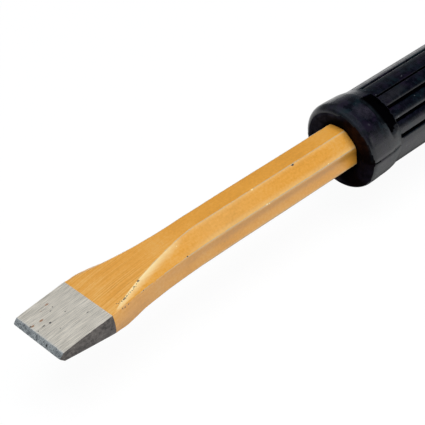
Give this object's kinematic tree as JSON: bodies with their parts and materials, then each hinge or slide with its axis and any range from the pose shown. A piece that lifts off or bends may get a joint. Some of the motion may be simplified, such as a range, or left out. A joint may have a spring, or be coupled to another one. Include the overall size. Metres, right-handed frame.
{
  "type": "cold chisel",
  "caption": "Flat cold chisel: octagonal forged bar with a flared, ground blade, and a moulded hand guard with collar, ribbed grip and round shield below the striking head.",
  "frame": {"origin": "middle of the cutting edge", "axes": "+X along the tool from the cutting edge to the striking head, +Z square to the flat faces of blade and shank, +Y across the blade"},
  "size_m": [0.25, 0.058, 0.058],
  "materials": {
    "bar_lacquer": "thin gold lacquer over forged steel; blade ground bright for the last 20 mm",
    "guard_rubber": "semi-gloss moulded black rubber"
  },
  "bodies": {
    "root": {"chisel_bar": "bar_lacquer", "hand_guard": "guard_rubber"}
  },
  "joints": []
}
